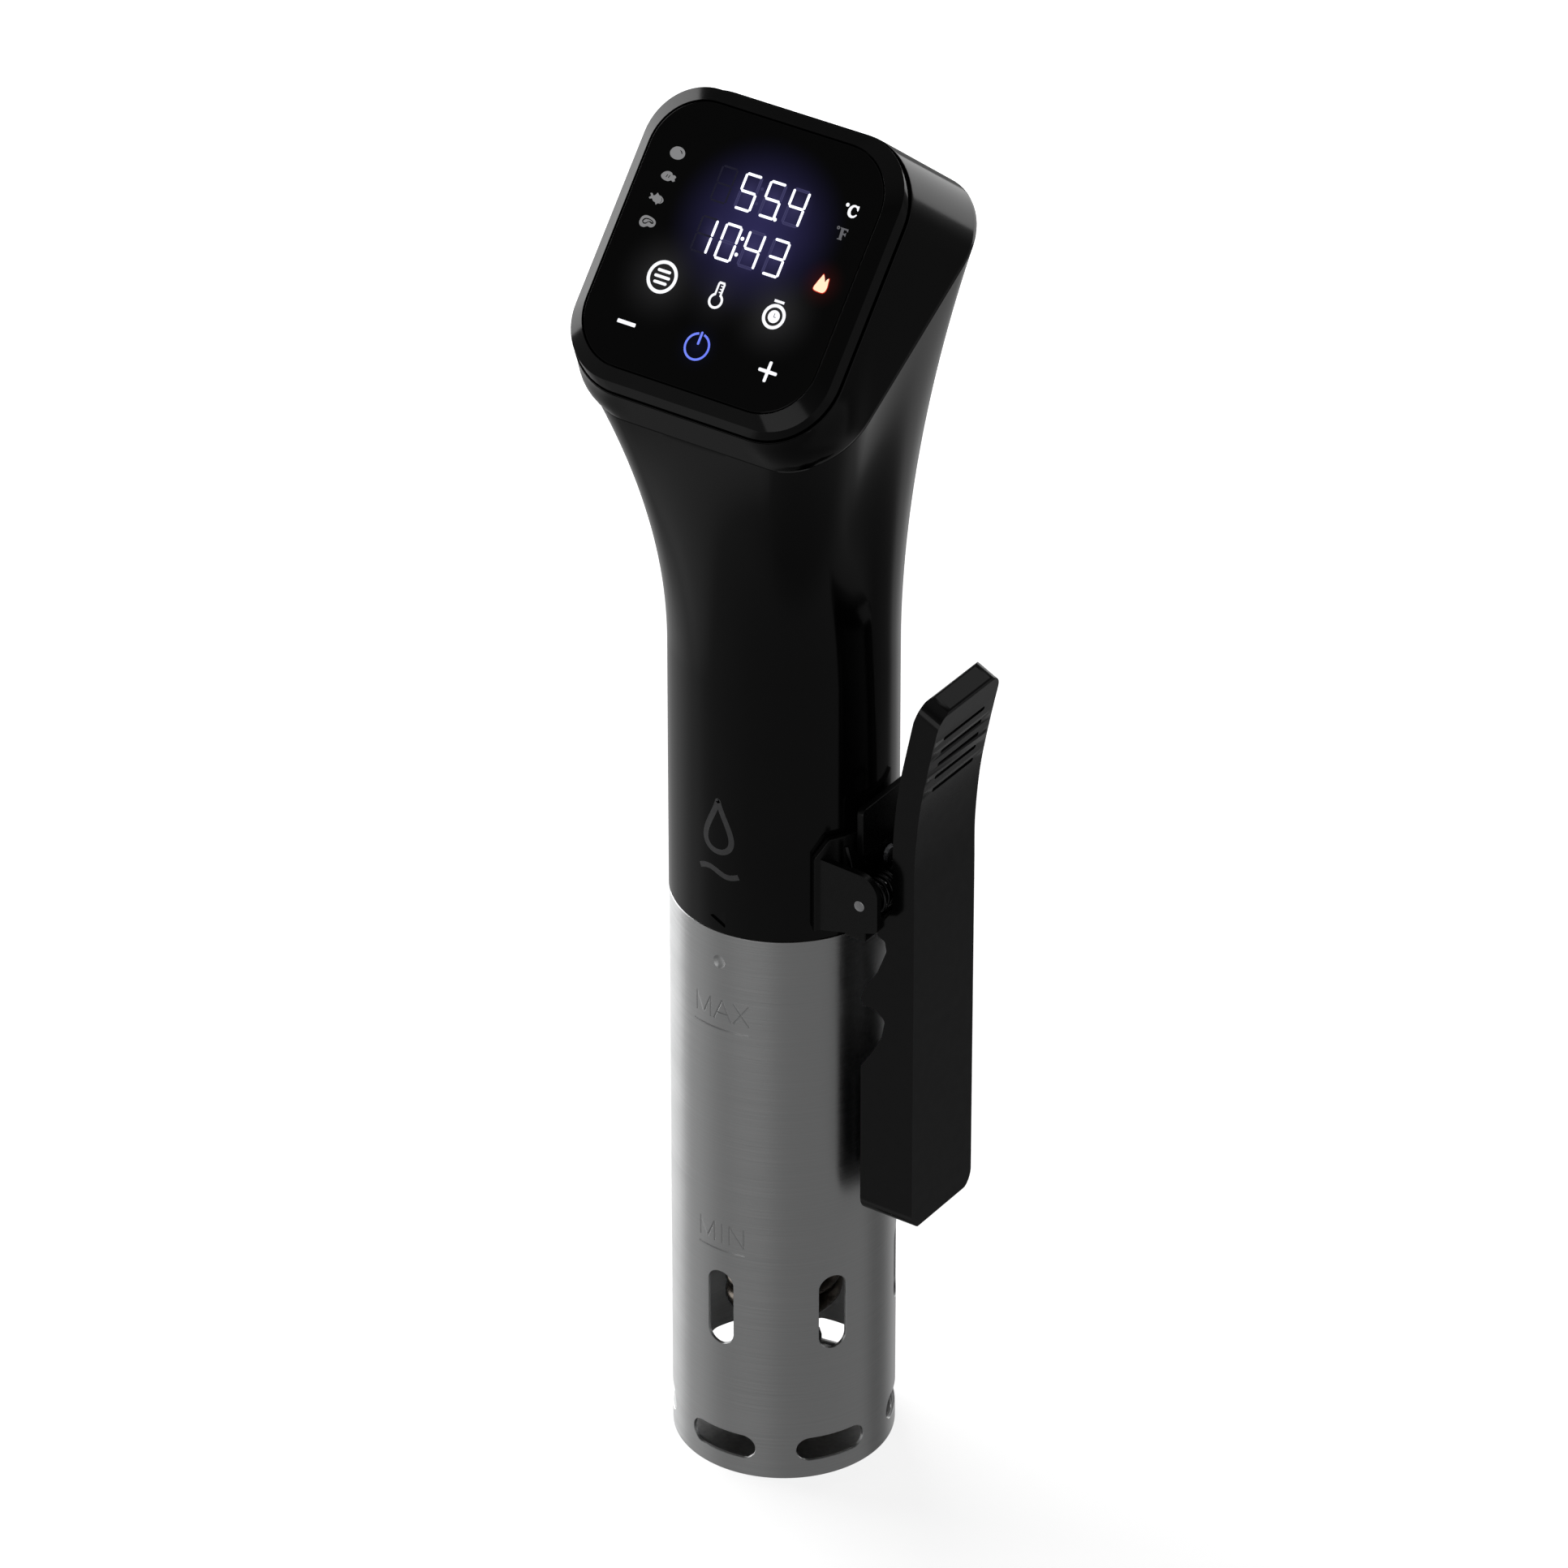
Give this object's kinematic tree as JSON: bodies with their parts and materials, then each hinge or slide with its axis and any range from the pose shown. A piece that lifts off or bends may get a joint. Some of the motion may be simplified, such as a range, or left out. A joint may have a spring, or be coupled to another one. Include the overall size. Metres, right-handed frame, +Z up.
{
  "type": "sous vide circulator",
  "caption": "Clip-on immersion circulator: slotted steel tube with heater and impeller, glossy flared handle with a tilted touch display, and a sprung pot clamp.",
  "frame": {"origin": "centre of the flat base, on the axis of the steel tube", "axes": "+Z up along the tube, -Y towards the display (the front), +X towards the pot clamp"},
  "size_m": [0.0919, 0.0809, 0.3685],
  "materials": {
    "handle_gloss": "glossy black",
    "panel_glass": "black touch glass",
    "brushed_steel": "satin, brushed round the tube",
    "cap_steel": "satin",
    "clamp_black": "satin black",
    "heater_steel": "dark satin",
    "pin_steel": "satin",
    "spring_steel": "drawn wire",
    "shaft_steel": "ground",
    "rubber": "matt black",
    "board_green": "solder mask",
    "white_plastic": "matt white",
    "inner_black": "matt black",
    "ferrite": "sintered",
    "grey_plastic": "moulded",
    "aluminium": "extruded",
    "zinc": "zinc plated",
    "bronze": "sintered",
    "copper": "wound copper on laminations"
  },
  "bodies": {
    "main": {"handle_shell": "handle_gloss", "display_bezel": "handle_gloss", "display_glass": "panel_glass", "glass_gasket": "rubber", "display_board": "board_green", "board_screw_1": "zinc", "board_screw_2": "zinc", "board_screw_3": "zinc", "board_screw_4": "zinc", "led_display": "white_plastic", "buzzer": "inner_black", "power_board": "board_green", "transformer": "ferrite", "capacitor": "grey_plastic", "relay": "white_plastic", "triac": "inner_black", "heat_sink": "aluminium", "cord_gland": "rubber", "gland_nut": "inner_black", "motor_can": "zinc", "motor_magnets": "ferrite", "motor_end_cap": "grey_plastic", "lower_bearing": "bronze", "upper_bearing": "bronze", "motor_plate": "zinc", "motor_screw_1": "zinc", "motor_screw_2": "zinc", "motor_screw_3": "zinc", "bulkhead": "grey_plastic", "bulkhead_seal": "rubber", "shaft_seal": "rubber", "heater_coil": "heater_steel", "heater_nut_1": "zinc", "heater_nut_2": "zinc", "temperature_probe": "shaft_steel", "level_probe_1": "shaft_steel", "level_probe_2": "shaft_steel", "clamp_bracket": "clamp_black", "bracket_screw_1": "zinc", "bracket_screw_2": "zinc", "clamp_pin": "pin_steel", "clamp_spring": "spring_steel"},
    "rotor": {"motor_shaft": "shaft_steel", "motor_rotor": "copper", "cooling_fan": "grey_plastic", "shaft_coupling": "rubber", "drive_shaft": "shaft_steel", "impeller": "grey_plastic"},
    "lever": {"clamp_lever": "clamp_black", "clamp_pad": "rubber"},
    "skirt": {"skirt_tube": "brushed_steel", "skirt_end_cap": "cap_steel", "skirt_collar": "inner_black"}
  },
  "joints": [
    {"name": "lever_open", "type": "hinge", "parent": "main", "child": "lever", "pos_m": [0.0348, 0, 0.174], "axis": [0, -1, 0], "range_deg": [0, 14], "stiffness_Nm_per_rad": 0.9, "springref_deg": -20.05, "deforming": ["clamp_spring"]},
    {"name": "rotor_spin", "type": "hinge", "parent": "main", "child": "rotor", "pos_m": [0, 0, 0.1], "axis": [0, 0, 1], "continuous": true},
    {"name": "skirt_twist", "type": "hinge", "parent": "main", "child": "skirt", "pos_m": [0, 0, 0.15], "axis": [0, 0, -1], "range_deg": [0, 20]}
  ]
}
